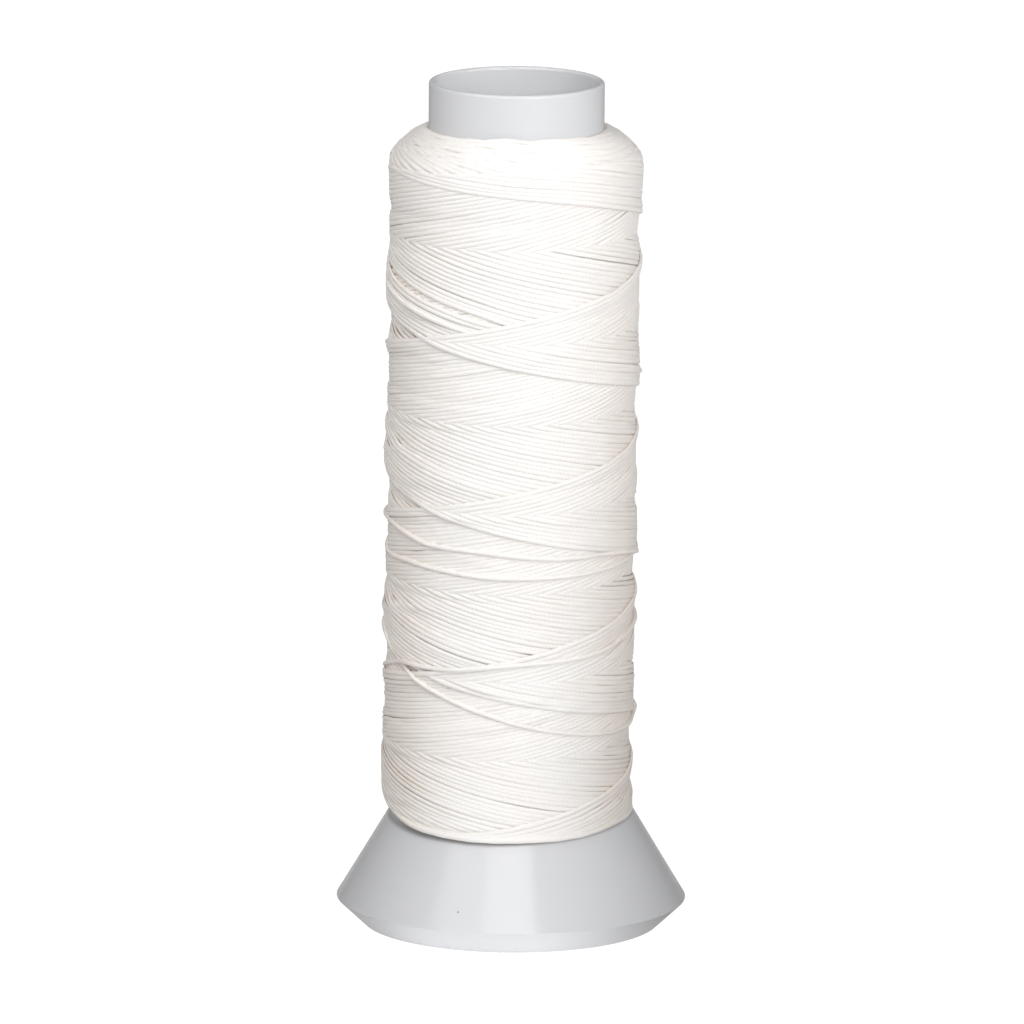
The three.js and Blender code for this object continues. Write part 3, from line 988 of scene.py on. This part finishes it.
def plastic_material():
    """Grey moulded plastic, with a faint orange peel and a painted contact shadow under the thread."""
    material, nodes = new_material("moulded_plastic")
    place_on = nodes.place()
    dark, pale = (tuple(share * part for part in PLASTIC) for share in PLASTIC_CLOUDS)
    clouds = nodes.noise(place_on, scale=45.0, detail=3.0)
    colour = nodes.ramp(clouds, (0.3, dark), (0.7, pale))

    from_speck = nodes.vector_math("DISTANCE", place_on, Vector(SPECK) * MM)
    low, high = (away * MM for away in SPECK_FADE)
    colour = nodes.mix(nodes.between(from_speck, low, high, SPECK_SHARE, 0), colour, SPECK_COLOUR)

    # painted contact shadow where the thread rests on the cone
    flat = nodes.vector_math("MULTIPLY", place_on, (1, 1, 0), "Vector")
    radius = nodes.vector_math("DISTANCE", flat, Vector(SHADOW_RING_MIDDLE) * MM)
    aside = nodes.math("ABSOLUTE", nodes.math("SUBTRACT", radius, SHADOW_RING_RADIUS * MM))
    low, high = (away * MM for away in SHADOW_RING_FADE)
    colour = nodes.mix(nodes.between(aside, low, high, SHADOW_RING_SHARE, 0), colour, SHADOW_RING_COLOUR)

    peel = nodes.bump(nodes.noise(place_on, scale=900.0, detail=2.0), strength=0.12)
    nodes.end_principled({
        "Base Color": colour, "Roughness": 0.2, "Specular IOR Level": 0.5, "Normal": peel,
    })
    return material


# ---- Stage, light and camera ----

CAMERA_PLACE = (-0.23, -1991.0, 470.5)
CAMERA_TARGET = (-0.23, 0.0, 57.2)
CAMERA_LENS = 521.7
CAMERA_ROLL = 0.42  # degrees; seen so, the reel leans a little to the right

AMBIENT = 0.18
WHITE = 1.13  # what the camera sees of the surroundings, just over white
MIRRORED_SHARE = 0.05  # how much of the white surroundings the plastic mirrors
FLOOR_SEEN = 0.9  # share of the seen floor that is just white; the rest takes light and shadow
FLOOR_COLOUR = (0.85, 0.85, 0.85)
# What the floor, a light table, sends up at the reel in a band from front to back.
FLOOR_LIGHT = 0.48
FLOOR_BAND = (0.01, 0.04)  # over which distance aside, in metres, it falls off
# On both sides of the foot the floor's colour is painted dark, with soft edges: painted shade, so that
# less light comes up from the floor at the foot's sides.
# Distances in metres, aside of the middle and round the axis.
FLOOR_SHADE_COLOUR = (0.03, 0.03, 0.03)
FLOOR_SHADE_MIDDLE = -0.003
FLOOR_SHADE_ASIDE = (0.006, 0.03)
FLOOR_SHADE_ROUND = (0.037, 0.052)

# Soft boxes that face the reel's axis. Azimuth, from the front towards +X, elevation and spread
# are in degrees, distance, size and the height of the aim in metres, and power in watts.
LAMPS = (
    # name, azimuth, elevation, distance, size, power, aim, spread
    ("key", 25, 20, 1.4, (0.6, 0.45), 6.0, 0.057, 180),
    ("fill", -25, 20, 1.4, (0.6, 0.45), 1.3, 0.057, 180),
    ("gleam", -2, 46, 1.4, (0.8, 0.3), 3.3, 0.057, 180),  # the bright band on the foot
    ("left", -45, 40, 0.4, (0.2, 0.2), 0.26, 0.057, 180),
    ("left_high", -70, 60, 0.4, (0.2, 0.2), 0.31, 0.057, 180),
    ("right_head", 70, 10, 0.4, (0.1, 0.1), 0.012, 0.11, 30),
    ("front_head", 35, 20, 0.4, (0.1, 0.1), 0.008, 0.11, 30),
)


def add_camera():
    data = bpy.data.cameras.new("camera")
    data.lens = CAMERA_LENS
    data.sensor_width = 36
    data.clip_end = 20
    camera = add_object("camera", data)
    camera.location = Vector(CAMERA_PLACE) * MM
    look = (Vector(CAMERA_TARGET) * MM - camera.location).to_track_quat("-Z", "Y")
    camera.rotation_euler = (look @ Quaternion((0, 0, 1), math.radians(CAMERA_ROLL))).to_euler()
    bpy.context.scene.camera = camera


def add_lamp(name, azimuth, elevation, distance, size, power, aim, spread):
    data = bpy.data.lights.new(name, "AREA")
    data.shape = "RECTANGLE"
    data.size, data.size_y = size
    data.energy = power
    data.spread = math.radians(spread)
    light = add_object(name, data)
    turn, rise = math.radians(azimuth), math.radians(elevation)
    across = math.cos(rise)
    away = Vector((math.sin(turn) * across, -math.cos(turn) * across, math.sin(rise)))
    light.location = Vector((0, 0, aim)) + away * distance
    light.rotation_euler = (-away).to_track_quat("-Z", "Y").to_euler()


def seen_directly(nodes):
    """1 for what the camera sees, a small share for what is mirrored, and 0 for all other light."""
    path = nodes.add("ShaderNodeLightPath")
    mirrored = nodes.math("MULTIPLY", (path, "Is Glossy Ray"), MIRRORED_SHARE)
    return nodes.math("MAXIMUM", (path, "Is Camera Ray"), mirrored)


def light_world():
    """A weak even light, and white where the surroundings are seen."""
    world = bpy.data.worlds.new("studio")
    bpy.context.scene.world = world
    world.use_nodes = True
    nodes = Nodes(world.node_tree)
    lit, shown = (
        (nodes.add("ShaderNodeBackground", {"Color": (1, 1, 1), "Strength": strength}), 0)
        for strength in (AMBIENT, WHITE)
    )
    nodes.end(nodes.mix_shader(seen_directly(nodes), lit, shown), "ShaderNodeOutputWorld")


def floor_material():
    """A matt light table, which is nearly all plain white where it is seen."""
    material, nodes = new_material("pale_floor")
    place_on = nodes.place()
    x, _, _ = nodes.split(place_on)

    # painted shade on the floor beside the foot
    aside = nodes.math("ABSOLUTE", nodes.math("SUBTRACT", x, FLOOR_SHADE_MIDDLE))
    aside = nodes.between(aside, *FLOOR_SHADE_ASIDE, shape="SMOOTHSTEP")
    away = nodes.vector_math("DISTANCE", place_on, (0, 0, 0))
    near = nodes.between(away, *FLOOR_SHADE_ROUND, 1, 0, shape="SMOOTHSTEP")
    colour = nodes.mix(nodes.math("MULTIPLY", aside, near), FLOOR_COLOUR, FLOOR_SHADE_COLOUR)
    matt = nodes.add("ShaderNodeBsdfDiffuse", {"Color": colour})

    from_middle = nodes.math("ABSOLUTE", x)
    glow = nodes.between(from_middle, *FLOOR_BAND, FLOOR_LIGHT, 0, shape="SMOOTHSTEP")
    glowing = nodes.add("ShaderNodeEmission", {"Strength": glow})
    real = nodes.add("ShaderNodeAddShader", {0: (matt, 0), 1: (glowing, 0)})
    white = nodes.add("ShaderNodeEmission", {"Strength": WHITE})
    share = nodes.math("MULTIPLY", seen_directly(nodes), FLOOR_SEEN)
    nodes.end(nodes.mix_shader(share, (real, 0), (white, 0)))
    return material


def add_floor(radius=2500, around=96):
    angle = 2 * math.pi * np.arange(around) / around
    rim = np.stack([radius * np.cos(angle), radius * np.sin(angle), np.zeros(around)], axis=-1)
    floor = build_mesh("floor", rim, [np.arange(around)[None, :]])
    floor.data.materials.append(floor_material())


# ---- The pieces ----

LOOSE_RING = 0.2  # from ring to ring of the loose end
LOOSE_SIDES = 12
LOOSE_HALF = 0.32  # where nothing presses it, the thread is fuller
CORE_SIDES = 96
SPOOL_SIDES = 256


def add_loose_thread(winding, last_strand):
    """The loose end of the thread, with its plies."""
    centres, normals = finer(*lay_loose_end(winding, last_strand), LOOSE_RING)
    points, quads, uv, ends = tube(centres, normals, LOOSE_HALF, LOOSE_SIDES, ply=PLY_DEPTH)
    uvs = [uv, np.zeros((2, LOOSE_SIDES, 2))]
    loose_end = build_mesh("loose_thread", points, [quads, ends], uvs)
    loose_end.data.materials.append(thread_material("loose_thread_end", with_plies=False))
    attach(loose_end, "root")
    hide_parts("loose_end")


def add_wound_thread(winding, strands, material):
    """The wound strands, and the body of older thread under them."""
    pieces = winding_pieces(winding, strands)
    pieces.append(lathe("wound_core", core_profile(), CORE_SIDES))
    for piece in pieces:
        piece.data.materials.append(material)
        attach(piece, "root")
        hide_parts("thread_winding")


def add_spool():
    """The moulding, tube and foot in one."""
    spool = lathe("moulded_spool", spool_profile(), SPOOL_SIDES)
    spool.data.set_sharp_from_angle(angle=math.radians(30))
    spool.data.materials.append(plastic_material())
    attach(spool, "root")
    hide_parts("spool")


add_camera()
winding, strands = wind()
add_loose_thread(winding, strands[-1])
add_wound_thread(winding, strands, thread_material("sewing_thread"))
add_spool()

add_floor()
light_world()
for lamp in LAMPS:
    add_lamp(*lamp)
bpy.context.scene.view_settings.view_transform = "Standard"
